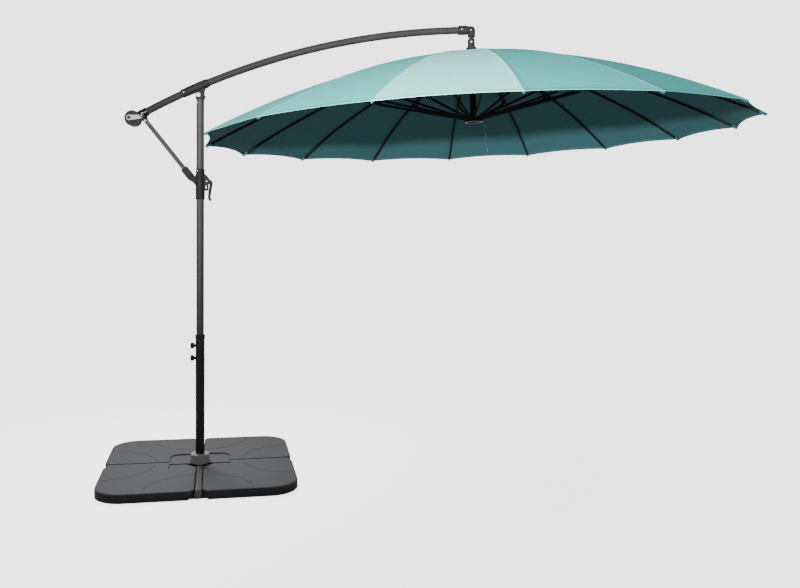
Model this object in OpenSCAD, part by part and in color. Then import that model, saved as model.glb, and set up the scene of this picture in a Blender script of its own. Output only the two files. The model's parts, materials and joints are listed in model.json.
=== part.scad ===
// Cantilever parasol: a round ribbed canopy hung from a curved boom, on a mast in a weighted cross base.
// Origin on the mast's axis at floor level, +Z up, the boom reaching out along +X in the plane Y = 0.

/* [Canopy] */
// Radius from the canopy's axis to the rib tips
canopy_r = 1500; // [1300:10:1500]
// Height of the fabric's crown over the plane of the rib tips
canopy_rise = 460; // [440:5:500]
// How far the middle of each rib bows out from its chord
canopy_bulge = 67; // [50:1:80]
// How far the hem dips in between two rib tips
hem_dip = 27; // [10:1:60]
// Lean of the canopy's axis at rest, positive towards the mast at the foot
canopy_lean = 3.4; // [3:0.1:5]
// Thickness of the fabric's solid
fabric_t = 1.5; // [1:0.5:2]

/* [Mast] */
// Diameter of the upper mast tube
mast_d = 42; // [40:0.5:42]
// Diameter of the lower mast tube
lower_d = 50; // [50:1:54]
// Height of the top of the lower mast tube
lower_top = 760; // [740:10:900]
// Height of the top of the upper mast tube
mast_top = 2090; // [2088:1:2092]

/* [Boom] */
// Diameter of the boom tube
boom_d = 39; // [36:1:40]
// Radius of the boom's long curve
boom_arc_r = 3950; // [3930:10:3970]
// X at which the boom's curve would run level
boom_level_x = 1616; // [1606:2:1626]
// Height of the boom's centreline where it would run level
boom_level_z = 2509; // [2505:1:2513]
// X of the pin that the canopy hangs from
hang_x = 1492.4; // [1490:0.2:1500]
// Height of the pin that the canopy hangs from
hang_z = 2440; // [2436:1:2442]

/* [Base] */
// Side of each square base weight
slab = 500; // [450:10:520]
// Thickness of each base weight
slab_t = 50; // [46:1:60]
// Gap between two base weights, over a bar of the cross
slab_gap = 40; // [38:1:44]
// Turn of the base about the mast's axis
base_yaw = 11; // [-45:1:45]

/* [Hidden] */
$fn = 64;
ARC_FN = 720;          // fineness of the long curves
EPS = 0.5;             // overlap between joined shapes
RUN = 0.05;            // radial clearance of a pin in its bore
RIBS = 16;             // ribs, and as many stretchers
RIB_NUMBERS = [for (k = [1 : RIBS]) k];
function two_digits(k) = k < 10 ? str("0", k) : str(k);
function rib_name(k) = str("rib_", two_digits(k));
function stretcher_name(k) = str("stretcher_", two_digits(k));

// Radii and walls of the tubes
mast_r = mast_d / 2;
lower_r = lower_d / 2;
boom_r = boom_d / 2;
tube_wall = 1.8;
// Pivots in the plane Y = 0, as [x, z]
BOOM_PIVOT = [-6, 2113];
STRUT_TOP = [-298, 1967];
STRUT_FOOT = [-38, 1648];
LEVER_PIVOT = [38, 1643];
DRUM = [-366, 1977];
CRANK_AXLE = [-380, 1978];
CRANK_TIP = [-302, 1986];
PULLEY = [1487, 2503];
// Screws through the fittings' sleeves, as [x, the sleeve's outer radius]
SCREWS = [[-86, boom_r + 3.5], [-312, boom_r + 4], [1438, boom_r + 5.5]];
screw_r = 2;
// Base
half_gap = slab_gap / 2;
half_base = half_gap + slab;
bar_w = 30;
bar_z = [6, 46];       // floor and top of the cross bars
bar_half = 500;
foot_plate_r = 50;
bolt_circle_r = 38;
// Fabric dome: an arc from the crown's edge to the rib tips
crown_r = 30;
hole_r = 24;
dome_chord = norm([canopy_r - crown_r, canopy_rise]);
dome_r = (pow(dome_chord / 2, 2) + pow(canopy_bulge, 2)) / (2 * canopy_bulge);
dome_c = [(canopy_r + crown_r) / 2, canopy_rise / 2]
    - [canopy_rise, canopy_r - crown_r] / dome_chord * (dome_r - canopy_bulge);
function dome_z(r) = dome_c[1] + sqrt(pow(dome_r, 2) - pow(r - dome_c[0], 2));
function dome_at(r) = acos((r - dome_c[0]) / dome_r);
// Canopy frame, in the canopy's own frame: origin in the plane of the rib tips, +Z up its axis
hang_drop = 514.5;
pole_r = 18;
hub_z = [430, 452];
runner_z = [84, 106];
hub_r = 52;
pin_circle_r = 40;
rib_w = 10;
rib_h = [18, 10];      // height of the rib's inner and outer half
rib_drop = 4;          // from the fabric's outer face down to the rib's top
stretcher_r = 730;     // radius at which the stretcher meets the rib
RIB_PIN = [pin_circle_r, 445];
RUNNER_PIN = [pin_circle_r, 95];
// Level with the middle of the two hubs, so that rib and stretcher stay mirror images as they fold
STRETCHER_PIN = [stretcher_r, (RIB_PIN[1] + RUNNER_PIN[1]) / 2];
stretcher_len = norm(STRETCHER_PIN - RUNNER_PIN);
strut_len = norm(STRUT_TOP - STRUT_FOOT);

function boom_z(x) = boom_level_z - boom_arc_r + sqrt(pow(boom_arc_r, 2) - pow(x - boom_level_x, 2));
function boom_at(x) = acos((x - boom_level_x) / boom_arc_r);
function slope_to(p, q) = atan2(q[1] - p[1], q[0] - p[0]);

// ---------------------------------------------------------------- helpers

// Sweeps a 2D section along the boom's curve from x0 to x1
module along_boom(x0, x1) {
    translate([boom_level_x, 0, boom_level_z - boom_arc_r])
        rotate([90, 0, 0])
            rotate([0, 0, boom_at(x1)])
                rotate_extrude(angle = boom_at(x0) - boom_at(x1), $fn = ARC_FN)
                    translate([boom_arc_r, 0]) children();
}

// Sweeps a 2D section along the fabric's curve, in the canopy's frame, from radius r0 to r1.
// The section's X is upwards from the fabric's outer face, so what lies under it is negative.
module along_dome(r0, r1) {
    translate([dome_c[0], 0, dome_c[1]])
        rotate([90, 0, 0])
            rotate([0, 0, dome_at(r1)])
                rotate_extrude(angle = dome_at(r0) - dome_at(r1), $fn = ARC_FN)
                    translate([dome_r, 0]) children();
}

// A flat plate standing in the XZ plane, centred on Y = y
module plate(thick, y = 0) {
    translate([0, y, 0])
        rotate([90, 0, 0])
            linear_extrude(height = thick, center = true) children();
}

// A round pin along Y through the point p of the XZ plane
module pin_y(p, r, len, y = 0) {
    translate([p[0], y, p[1]])
        rotate([90, 0, 0])
            cylinder(r = r, h = len, center = true);
}

// The outline of a link with round ends at p and q
module link(p, q, rp, rq) {
    d = (q - p) / norm(q - p);
    n = [-d[1], d[0]];
    translate(p) circle(rp);
    translate(q) circle(rq);
    polygon([p + n * rp, q + n * rq, q - n * rq, p - n * rp]);
}

// A rectangular bar's section, its top face at X = -drop
module bar_section(drop, h, w) {
    translate([-drop - h, -w / 2]) square([h, w]);
}

module tube(r, wall, z0, z1) {
    translate([0, 0, z0])
        difference() {
            cylinder(r = r, h = z1 - z0);
            translate([0, 0, -1]) cylinder(r = r - wall, h = z1 - z0 + 2);
        }
}

module ring(r_out, r_in, z0, z1) {
    tube(r_out, r_out - r_in, z0, z1);
}

module on_base() {
    rotate([0, 0, base_yaw]) children();
}

module on_canopy() {
    translate([hang_x, 0, hang_z])
        rotate([0, -canopy_lean, 0])
            translate([0, 0, -hang_drop]) children();
}

// Spoke 1 points at the mast
module on_spoke(k) {
    on_canopy()
        rotate([0, 0, 180 + (k - 1) * 360 / RIBS]) children();
}

// The strut's own frame: origin at its foot, X up along it
module on_strut() {
    translate([STRUT_FOOT[0], 0, STRUT_FOOT[1]])
        rotate([0, -slope_to(STRUT_FOOT, STRUT_TOP), 0]) children();
}

// ---------------------------------------------------------------- base

outer_corner_r = 150;
small_corner_r = 22;
inner_chamfer = 100;
recess_half = 170;
recess_r = 60;
recess_depth = 8;

// What a round of radius r takes off a square corner that points along +X +Y
module corner_cut(r) {
    difference() {
        square(r + 1);
        circle(r);
    }
}

module slab_outline() {
    difference() {
        translate([half_gap, half_gap]) square(slab);
        translate([half_base - outer_corner_r, half_base - outer_corner_r]) corner_cut(outer_corner_r);
        translate([half_base - small_corner_r, half_gap + small_corner_r])
            mirror([0, 1]) corner_cut(small_corner_r);
        translate([half_gap + small_corner_r, half_base - small_corner_r])
            mirror([1, 0]) corner_cut(small_corner_r);
        polygon([[0, 0], [inner_chamfer, 0], [0, inner_chamfer]]);
    }
}

module recess_outline() {
    difference() {
        translate([-1, -1]) square(recess_half + 1);
        translate([recess_half - recess_r, recess_half - recess_r]) corner_cut(recess_r);
    }
}

module base_weights() {
    rebate = [47, 6.5];
    color([0.38, 0.39, 0.40])
        on_base()
            for (turn = [0 : 90 : 270])
                rotate([0, 0, turn])
                    difference() {
                        linear_extrude(height = slab_t) slab_outline();
                        translate([0, 0, slab_t - recess_depth])
                            linear_extrude(height = recess_depth + 1) recess_outline();
                        translate([0, 0, -1]) cube([rebate[0], half_base + 1, rebate[1] + 1]);
                        translate([0, 0, -1]) cube([half_base + 1, rebate[0], rebate[1] + 1]);
                    }
}

module cross_bar() {
    flange = [90, bar_z[0]];
    difference() {
        union() {
            translate([-bar_half, -bar_w / 2, bar_z[0] - EPS])
                cube([2 * bar_half, bar_w, bar_z[1] - bar_z[0] + EPS]);
            translate([-bar_half, -flange[0] / 2, 0])
                cube([2 * bar_half, flange[0], flange[1]]);
        }
        translate([-bar_half - 1, -bar_w / 2 + tube_wall, bar_z[0] + tube_wall])
            cube([2 * bar_half + 2, bar_w - 2 * tube_wall, bar_z[1] - bar_z[0] - 2 * tube_wall]);
    }
}

module bolt_holes(z0, z1) {
    for (turn = [45 : 90 : 315])
        rotate([0, 0, turn])
            translate([bolt_circle_r, 0, z0]) cylinder(r = 4.5, h = z1 - z0);
}

module base_cross() {
    color([0.30, 0.31, 0.32])
        on_base()
            difference() {
                union() {
                    cross_bar();
                    rotate([0, 0, 90]) cross_bar();
                    translate([0, 0, bar_z[1] - EPS]) cylinder(r = foot_plate_r, h = 6 + EPS);
                }
                bolt_holes(bar_z[1] - 5, bar_z[1] + 7);
            }
}

module bar_end_caps() {
    cap = [3, 32, 47];
    plug = [14, bar_w - 2 * tube_wall - 0.6, bar_z[1] - bar_z[0] - 2 * tube_wall - 0.6];
    color([0.26, 0.27, 0.28])
        on_base()
            for (turn = [0 : 90 : 270])
                rotate([0, 0, turn]) {
                    translate([bar_half + 0.1, -cap[1] / 2, 0]) cube(cap);
                    translate([bar_half + 0.1 - plug[0], -plug[1] / 2, bar_z[0] + tube_wall + 0.3])
                        cube([plug[0] + EPS, plug[1], plug[2]]);
                }
}

module base_bolts() {
    shank_z = [38, 68];
    nut_h = 6;
    head_z = bar_z[1] + 12.05;
    color([0.75, 0.75, 0.75])
        on_base()
            for (turn = [45 : 90 : 315])
                rotate([0, 0, turn])
                    translate([bolt_circle_r, 0, 0]) {
                        translate([0, 0, shank_z[0]]) cylinder(r = 4, h = shank_z[1] - shank_z[0]);
                        translate([0, 0, head_z]) cylinder(r = 7.5, h = nut_h, $fn = 6);
                        translate([0, 0, bar_z[1] - 0.55 - nut_h]) cylinder(r = 7.5, h = nut_h, $fn = 6);
                    }
}

module foot_collar() {
    top = 100;
    r = 53;
    round = 8;
    color([0.42, 0.41, 0.40])
        rotate_extrude()
            difference() {
                union() {
                    translate([0, bar_z[1] + 1]) square([r, top - round - bar_z[1] - 1]);
                    square_top = top - round - EPS;
                    translate([0, square_top]) square([r - round, round + EPS]);
                    translate([r - round, top - round]) circle(round);
                }
                translate([-1, 0]) square([1 + r - 2.5, top - 4]);
                translate([-1, 0]) square([1 + lower_r + 0.3, top + 1]);
            }
}

// ---------------------------------------------------------------- mast

knob_z = [719, 648];
boss_end = 31;
mast_foot_z = 560;

module lower_mast() {
    flange = [bar_z[1] + 6.05, bar_z[1] + 12];
    color([0.22, 0.23, 0.24])
        difference() {
            union() {
                translate([0, 0, flange[0]]) cylinder(r = lower_r, h = lower_top - flange[0]);
                translate([0, 0, flange[0]]) cylinder(r = foot_plate_r, h = flange[1] - flange[0]);
                for (z = knob_z)
                    translate([-boss_end, 0, z])
                        rotate([0, 90, 0]) cylinder(r = 9, h = boss_end - lower_r + 1.5);
            }
            translate([0, 0, flange[0] - 1]) cylinder(r = lower_r - 2, h = lower_top);
            on_base() bolt_holes(flange[0] - 1, flange[1] + 1);
            for (z = knob_z)
                translate([-boss_end - 1, 0, z]) rotate([0, 90, 0]) cylinder(r = 4 + RUN, h = boss_end);
        }
}

// Cap on the lower tube, with the plastic sleeve that steadies the upper tube inside it
module mast_collar() {
    cap_h = 20;
    cap_r = lower_r + 2.5;
    bore_r = mast_r + 0.1;
    sleeve_foot = 600;
    color([0.08, 0.08, 0.08])
        difference() {
            union() {
                translate([0, 0, lower_top + 0.05]) cylinder(r = cap_r, h = cap_h);
                translate([0, 0, sleeve_foot]) cylinder(r = lower_r - 2.1, h = lower_top + 1 - sleeve_foot);
            }
            translate([0, 0, sleeve_foot - 1]) cylinder(r = bore_r, h = lower_top + cap_h + 2 - sleeve_foot);
            for (z = knob_z)
                translate([-lower_r - 1, 0, z]) rotate([0, 90, 0]) cylinder(r = 5, h = lower_r);
        }
}

// Hand screw: a lobed grip and a threaded stem that bears on the upper tube
module lock_knob(z) {
    grip_x = [-52, -35];
    grip_r = 14;
    lobe_r = 4;
    lobes = 6;
    color([0.08, 0.08, 0.08])
        translate([0, 0, z])
            rotate([0, -90, 0]) {
                translate([0, 0, mast_r + 0.4]) cylinder(r = 4, h = -grip_x[1] - mast_r + 1);
                translate([0, 0, -grip_x[1]]) {
                    cylinder(r = grip_r, h = grip_x[1] - grip_x[0]);
                    for (turn = [0 : 360 / lobes : 359])
                        rotate([0, 0, turn])
                            translate([grip_r - 1, 0, 0]) cylinder(r = lobe_r, h = grip_x[1] - grip_x[0]);
                }
            }
}

module upper_mast() {
    color([0.40, 0.40, 0.40])
        tube(mast_r, tube_wall, mast_foot_z, mast_top);
}

ear_y = [12, 18];      // inner and outer face of the mast head's ears

module mast_head() {
    plug_z = mast_top - 40;
    cord_way_r = 11;
    block_x = [-21, 21.5];
    block_top = mast_top + 7;
    ear_t = ear_y[1] - ear_y[0];
    ear_r = 14;
    stop = [22, 2108];
    color([0.07, 0.07, 0.07])
        difference() {
            union() {
                translate([0, 0, plug_z])
                    cylinder(r = mast_r - tube_wall - RUN, h = mast_top + 1 - plug_z);
                translate([block_x[0], -ear_y[1], mast_top + 0.02])
                    cube([block_x[1] - block_x[0], 2 * ear_y[1], block_top - mast_top]);
                for (side = [-1, 1])
                    plate(ear_t, side * (ear_y[0] + ear_t / 2)) {
                        translate(BOOM_PIVOT) circle(ear_r);
                        polygon([[block_x[0], block_top - 1], BOOM_PIVOT - [ear_r, 0],
                            BOOM_PIVOT + [0, ear_r], [16, 2125], stop + [1, 5], [block_x[1], block_top - 1]]);
                        translate(stop) circle(5);
                    }
            }
            translate([0, 0, plug_z - 1]) cylinder(r = cord_way_r, h = block_top + 2 - plug_z);
            pin_y(BOOM_PIVOT, 5 + RUN, 60);
        }
}

// ---------------------------------------------------------------- slider and strut

slider_z = [1542, 1680, 1710];
lug_y = [10, 14];
web_y = [7.8, 10.8];

module slider() {
    body_r = 25;
    collar_r = 23.8;
    flare = 1.2;
    lug_t = lug_y[1] - lug_y[0];
    web_t = web_y[1] - web_y[0];
    color([0.09, 0.10, 0.10])
        difference() {
            union() {
                translate([0, 0, slider_z[0]]) cylinder(r = body_r, h = slider_z[1] - slider_z[0]);
                translate([0, 0, slider_z[0]]) cylinder(r1 = body_r + flare, r2 = body_r, h = 16);
                translate([0, 0, slider_z[1] - EPS])
                    cylinder(r = collar_r, h = slider_z[2] - slider_z[1] + EPS);
                for (side = [-1, 1]) {
                    plate(lug_t, side * (lug_y[0] + lug_t / 2)) {
                        translate(STRUT_FOOT) circle(12);
                        polygon([[-10, 1682], STRUT_FOOT + [-4, 11], STRUT_FOOT + [0, -12], [-10, 1600]]);
                    }
                    plate(web_t, side * (web_y[0] + web_t / 2))
                        difference() {
                            polygon([[12, 1692], [34, 1676], [50, 1656], [52, 1640], [44, 1626],
                                [44, 1592], [12, 1588]]);
                            polygon([[28, 1603], [38, 1603], [37, 1617], [29, 1622]]);
                        }
                }
                pin_y(STRUT_FOOT, 4, 2 * lug_y[1]);
                pin_y(LEVER_PIVOT, 4, 2 * web_y[1]);
            }
            translate([0, 0, slider_z[0] - 1])
                cylinder(r = mast_r + 0.3, h = slider_z[2] - slider_z[0] + 2);
        }
}

module slider_lever() {
    knee = [[36, 1651], [60, 1650], [69, 1636]];
    hook = [[57, 1562], [56, 1551], [63, 1542], [60, 1533], [50, 1536], [44, 1548]];
    inner_edge = [[43.5, 1562], [52, 1624], [47, 1634], [38, 1635]];
    color([0.09, 0.10, 0.10])
        difference() {
            union() {
                pin_y(LEVER_PIVOT, 9, 14);
                plate(14) polygon(concat(knee, hook, inner_edge));
            }
            pin_y(LEVER_PIVOT, 4 + RUN, 30);
        }
}

module strut_tube() {
    end_gap = 34;
    socket_from = 34;
    color([0.28, 0.28, 0.28])
        on_strut()
            difference() {
                union() {
                    translate([socket_from, 0, 0])
                        rotate([0, 90, 0]) cylinder(r = 12, h = strut_len - end_gap - socket_from + 4);
                    plate(15) link([strut_len - end_gap - 4, 0], [strut_len, 0], 11, 11);
                }
                translate([socket_from - 1, 0, 0])
                    rotate([0, 90, 0]) cylinder(r = 10.4, h = strut_len - end_gap - socket_from - 14);
                pin_y([strut_len, 0], 4 + RUN, 40);
            }
}

// Its eye is wide of the pin, because this is where the closed linkage is opened
module strut_socket() {
    eye_r = 6.2;
    boss_r = 11;
    sleeve = [26, 82];
    half_w = 19;
    half_t = 15;
    shoulder = 11;
    color([0.10, 0.11, 0.11])
        on_strut()
            difference() {
                union() {
                    translate([sleeve[0], -half_t, -half_w])
                        cube([sleeve[1] - sleeve[0], 2 * half_t, 2 * half_w]);
                    plate(2 * lug_y[0] - 0.8) {
                        circle(boss_r);
                        polygon([[0, -boss_r], [0, boss_r], [shoulder, half_w], [sleeve[0] + 1, half_w],
                            [sleeve[0] + 1, -half_w], [shoulder + 4, -half_w]]);
                    }
                }
                translate([sleeve[0] + 8, 0, 0])
                    rotate([0, 90, 0]) cylinder(r = 12 + RUN, h = sleeve[1]);
                pin_y([0, 0], eye_r, 40);
            }
}

// ---------------------------------------------------------------- boom

boom_ends = [-334, 1468];

module screw_holes() {
    for (s = SCREWS)
        pin_y([s[0], boom_z(s[0])], screw_r + RUN, 14, -s[1] + 1);
}

module boom_tube() {
    color([0.40, 0.40, 0.40])
        difference() {
            along_boom(boom_ends[0], boom_ends[1])
                difference() {
                    circle(boom_r);
                    circle(boom_r - tube_wall);
                }
            screw_holes();
        }
}

// Sleeve round the boom, with the tongue that turns between the mast head's ears
module boom_bracket() {
    collar_r = boom_r + 3.5;
    sleeve_r = boom_r + 5;
    heel = [21.5, 2103];
    color([0.07, 0.07, 0.07])
        difference() {
            union() {
                along_boom(-98, -70) circle(collar_r);
                along_boom(-74, 34) circle(sleeve_r);
                along_boom(30, 46) circle(collar_r - 0.5);
                plate(2 * ear_y[0] - 0.8) {
                    translate(BOOM_PIVOT) circle(12);
                    polygon([[-58, boom_z(-58)], [-50, boom_z(-50) - 22], [-34, 2130], [-24, 2124],
                        BOOM_PIVOT - [12, 2], BOOM_PIVOT - [4, 11], heel, [21.5, 2132], [30, boom_z(30) - 22],
                        [38, boom_z(38)]]);
                }
            }
            along_boom(-110, 60) circle(boom_r + RUN);
            screw_holes();
            pin_y(BOOM_PIVOT, 5 + RUN, 60);
        }
}

housing_y = 24;        // half the crank housing's depth

module crank_housing() {
    drum_r = 43;
    drum_wall = 3;
    neck_r = boom_r + 4;
    ears = [8, 12];
    color([0.06, 0.06, 0.06])
        difference() {
            union() {
                pin_y(DRUM, drum_r, 2 * housing_y);
                along_boom(-362, -290) circle(neck_r);
                for (side = [-1, 1])
                    plate(ears[1] - ears[0], side * (ears[0] + ears[1]) / 2) {
                        link([-318, 1999], STRUT_TOP, 26, 11);
                    }
            }
            pin_y(DRUM, drum_r - drum_wall, 2 * (housing_y - drum_wall));
            along_boom(-350, -280) circle(boom_r + RUN);
            screw_holes();
            pin_y(CRANK_AXLE, 6 + RUN, 60, -30);
            pin_y(STRUT_TOP, 4 + RUN, 60);
        }
}

elbow_foot_z = 2470;

module boom_elbow() {
    sleeve_r = boom_r + 5.5;
    corner_r = boom_r + 3;
    barrel_r = 20.5;
    corner_z = boom_z(hang_x - 2);
    tongue_r = 12;
    color([0.07, 0.07, 0.07])
        difference() {
            union() {
                along_boom(1418, 1468) circle(sleeve_r);
                along_boom(1464, hang_x - 2) circle(corner_r);
                translate([hang_x - 2, 0, corner_z]) sphere(corner_r - 0.2);
                translate([hang_x, 0, elbow_foot_z]) cylinder(r = barrel_r, h = corner_z - elbow_foot_z);
                plate(18) link([hang_x, hang_z], [hang_x, elbow_foot_z + 6], tongue_r, tongue_r);
            }
            along_boom(1400, boom_ends[1] + 0.5) circle(boom_r + RUN);
            screw_holes();
            pin_y(PULLEY, 14, 10);
            translate([PULLEY[0] - 18, -5, PULLEY[1] - 8]) cube([18, 10, 16]);
            pin_y([hang_x, hang_z], 4 + RUN, 60);
            pin_y(PULLEY, 2.5 + RUN, 60);
        }
}

// Pins, bolts and screws that hold the boom's fittings, as one group
module frame_bolts() {
    head_r = 4.5;
    color([0.80, 0.80, 0.80]) {
        // Pivot bolt with its washers, head and nut
        pin_y(BOOM_PIVOT, 5, 54);
        for (side = [-1, 1]) {
            pin_y(BOOM_PIVOT, 11, 2.4, side * (ear_y[1] + 1.4));
            pin_y(BOOM_PIVOT, 7.5, 6, side * (ear_y[1] + 5.5));
        }
        // Strut pin
        pin_y(STRUT_TOP, 4, 26);
        for (side = [-1, 1]) pin_y(STRUT_TOP, 6.5, 3, side * 13.7);
        // Pin that the canopy hangs from
        pin_y([hang_x, hang_z], 4, 46);
        for (side = [-1, 1]) pin_y([hang_x, hang_z], 6.5, 3, side * 22.9);
        // Pulley axle
        pin_y(PULLEY, 2.5, 48);
        for (side = [-1, 1]) pin_y(PULLEY, head_r, 2.5, side * 23.9);
        // Screws through the sleeves into the boom tube
        for (s = SCREWS) {
            pin_y([s[0], boom_z(s[0])], head_r, 2, -s[1] - 1.1);
            pin_y([s[0], boom_z(s[0])], screw_r, 7, -s[1] + 3);
        }
    }
}

// Crank: tapered arm, axle and the drum that winds the lifting cord
module crank_arm() {
    arm_y = -housing_y - 8;
    color([0.80, 0.80, 0.80])
        difference() {
            union() {
                plate(8, arm_y) link(CRANK_AXLE, CRANK_TIP, 15, 8);
                pin_y(CRANK_AXLE, 6, 48, arm_y + 24);
                pin_y(CRANK_AXLE, 14, 26, 0);
                for (side = [-1, 1]) pin_y(CRANK_AXLE, 21, 2.5, side * 14);
            }
            pin_y(CRANK_TIP, 3 + RUN, 60, arm_y);
        }
}

module crank_knob() {
    grip_y = [-37, -76];
    color([0.06, 0.06, 0.06]) {
        pin_y(CRANK_TIP, 3, 48, -51);
        pin_y(CRANK_TIP, 10.5, grip_y[0] - grip_y[1], (grip_y[0] + grip_y[1]) / 2);
        pin_y(CRANK_TIP, 5.5, 1.4, -27.1);
    }
}

module cord_pulley() {
    color([0.85, 0.85, 0.82])
        translate([PULLEY[0], 0, PULLEY[1]])
            rotate([90, 0, 0])
                difference() {
                    cylinder(r = 13, h = 8, center = true);
                    rotate_extrude() translate([14, 0]) circle(3.2);
                    cylinder(r = 2.5 + RUN, h = 20, center = true);
                }
}

// ---------------------------------------------------------------- canopy frame

// Wedge-free slots for the tongues of the ribs or stretchers, and the pins across them
module spoke_slots(z0, z1) {
    slot_w = 6.6;
    for (k = RIB_NUMBERS)
        rotate([0, 0, k * 360 / RIBS])
            translate([31, -slot_w / 2, z0]) cube([hub_r, slot_w, z1 - z0]);
}

module spoke_pins(z) {
    for (k = RIB_NUMBERS)
        rotate([0, 0, k * 360 / RIBS]) pin_y([pin_circle_r, z], 2, 12);
}

module canopy_yoke() {
    flange_z = [478, 486];
    body_r = 21;
    slot_floor = 497;
    arm_r = 24;
    color([0.07, 0.07, 0.07])
        on_canopy()
            difference() {
                union() {
                    translate([0, 0, flange_z[0]]) cylinder(r = 30, h = flange_z[1] - flange_z[0]);
                    intersection() {
                        translate([0, 0, flange_z[1] - EPS]) cylinder(r = body_r, h = 60);
                        union() {
                            pin_y([0, hang_drop], arm_r, 60);
                            translate([-30, -30, flange_z[0]]) cube([60, 60, hang_drop - flange_z[0]]);
                        }
                    }
                }
                translate([-30, -9.4, slot_floor]) cube([60, 18.8, 60]);
                pin_y([0, hang_drop], 4 + RUN, 60);
            }
}

module canopy_pole() {
    color([0.10, 0.11, 0.11])
        on_canopy()
            tube(pole_r, 1.5, runner_z[0] + 3, 477.5);
}

module crown_hub() {
    neck_r = 22;
    washer_r = 36;
    washer_z = [461.5, 464.5];
    color([0.06, 0.06, 0.06])
        on_canopy() {
            difference() {
                union() {
                    translate([0, 0, hub_z[0]]) cylinder(r = hub_r, h = hub_z[1] - hub_z[0]);
                    translate([0, 0, hub_z[1] - EPS]) cylinder(r = neck_r, h = 477.5 - hub_z[1] + EPS);
                    translate([0, 0, washer_z[0]]) cylinder(r = washer_r, h = washer_z[1] - washer_z[0]);
                }
                translate([0, 0, hub_z[0] - 1]) cylinder(r = pole_r + RUN, h = 60);
                spoke_slots(hub_z[0] - 1, hub_z[1] + 0.01);
            }
            spoke_pins(RIB_PIN[1]);
        }
}

module runner() {
    cap_t = 5;
    color([0.10, 0.09, 0.08])
        on_canopy() {
            difference() {
                union() {
                    translate([0, 0, runner_z[0]]) cylinder(r = hub_r - 2, h = runner_z[1] - runner_z[0]);
                    translate([0, 0, runner_z[0] - cap_t]) cylinder(r = hub_r - 2, h = cap_t + EPS);
                }
                translate([0, 0, runner_z[0] + 2]) cylinder(r = pole_r + 0.4, h = 60);
                translate([0, 0, runner_z[0] - cap_t - 1]) cylinder(r = hub_r - 12, h = cap_t);
                spoke_slots(runner_z[0], runner_z[1] + 1);
            }
            spoke_pins(RUNNER_PIN[1]);
        }
}

// Rib: a tongue at the hub, a deep inner half, a slim outer half and the stretcher's bracket
module rib(k) {
    wall = 1.2;
    outer_w = 8.6;
    outer_drop = rib_drop + 0.5;
    inner = [68, 780];
    tip_r = canopy_r - 5;
    plug = 10;             // length of the solid ends
    tongue_t = 6;
    ear = [4.4, 7.2];
    mid_drop = rib_drop + rib_h[0] / 2;
    tongue_end = [72, dome_z(72) - mid_drop];
    bar_at_pin = dome_z(stretcher_r) - mid_drop;
    color([0.07, 0.07, 0.07])
        on_spoke(k)
            difference() {
                union() {
                    along_dome(inner[0], inner[1]) bar_section(rib_drop, rib_h[0], rib_w);
                    along_dome(inner[1] - plug, tip_r) bar_section(outer_drop, rib_h[1], outer_w);
                    plate(tongue_t) link(RIB_PIN, tongue_end, 6, 6);
                    for (side = [-1, 1])
                        plate(ear[1] - ear[0], side * (ear[0] + ear[1]) / 2) {
                            translate(STRETCHER_PIN) circle(7);
                            polygon([[stretcher_r - 16, bar_at_pin + 3], [stretcher_r + 16, bar_at_pin - 6],
                                STRETCHER_PIN + [7, 0], STRETCHER_PIN + [-7, 0]]);
                        }
                    pin_y(STRETCHER_PIN, 2.5, 2 * ear[1] + 3);
                }
                along_dome(inner[0] + plug, inner[1] - plug - 4)
                    bar_section(rib_drop + wall, rib_h[0] - 2 * wall, rib_w - 2 * wall);
                along_dome(inner[1] + 4, tip_r - plug)
                    bar_section(outer_drop + wall, rib_h[1] - 2 * wall, outer_w - 2 * wall);
                pin_y(RIB_PIN, 2 + RUN, 20);
            }
}

module stretcher(k) {
    bar = [26, stretcher_len - 20];
    bar_w = 8;
    bar_h = 12;
    wall = 1;
    color([0.07, 0.07, 0.07])
        on_spoke(k)
            translate([RUNNER_PIN[0], 0, RUNNER_PIN[1]])
                rotate([0, -slope_to(RUNNER_PIN, STRETCHER_PIN), 0])
                    difference() {
                        union() {
                            difference() {
                                translate([bar[0], -bar_w / 2, -bar_h / 2])
                                    cube([bar[1] - bar[0], bar_w, bar_h]);
                                translate([bar[0] + 8, -bar_w / 2 + wall, -bar_h / 2 + wall])
                                    cube([bar[1] - bar[0] - 16, bar_w - 2 * wall, bar_h - 2 * wall]);
                            }
                            plate(6) link([0, 0], [bar[0] + 4, 0], 6, 6);
                            plate(bar_w) link([bar[1] - 4, 0], [stretcher_len, 0], 6, 6);
                        }
                        pin_y([0, 0], 2 + RUN, 20);
                        pin_y([stretcher_len, 0], 2.5 + RUN, 20);
                    }
}

// ---------------------------------------------------------------- fabric

gore_steps = 4;        // facets across one gore
radial_steps = 14;
around = RIBS * gore_steps;
SPOKE_TURN = 360 / RIBS;

// Between two ribs the cloth is straight, so its radius shrinks towards the middle of the gore
function gore_share(j) = (j % gore_steps) / gore_steps;
function cloth_scale(j) = cos(SPOKE_TURN / 2) / cos(SPOKE_TURN * (gore_share(j) - 0.5));
function hem_scale(j) = 1 - 4 * gore_share(j) * (1 - gore_share(j)) * hem_dip / canopy_r;
function rib_radius(i, j) = hole_r + (canopy_r * hem_scale(j) - hole_r) * i / radial_steps;
function cloth_point(i, j, down) =
    let (r = rib_radius(i, j), a = 180 + j * 360 / around)
    [r * cloth_scale(j) * cos(a), r * cloth_scale(j) * sin(a), dome_z(r) - down];
function cloth_index(layer, i, j) = layer * (radial_steps + 1) * around + i * around + j % around;

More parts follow.
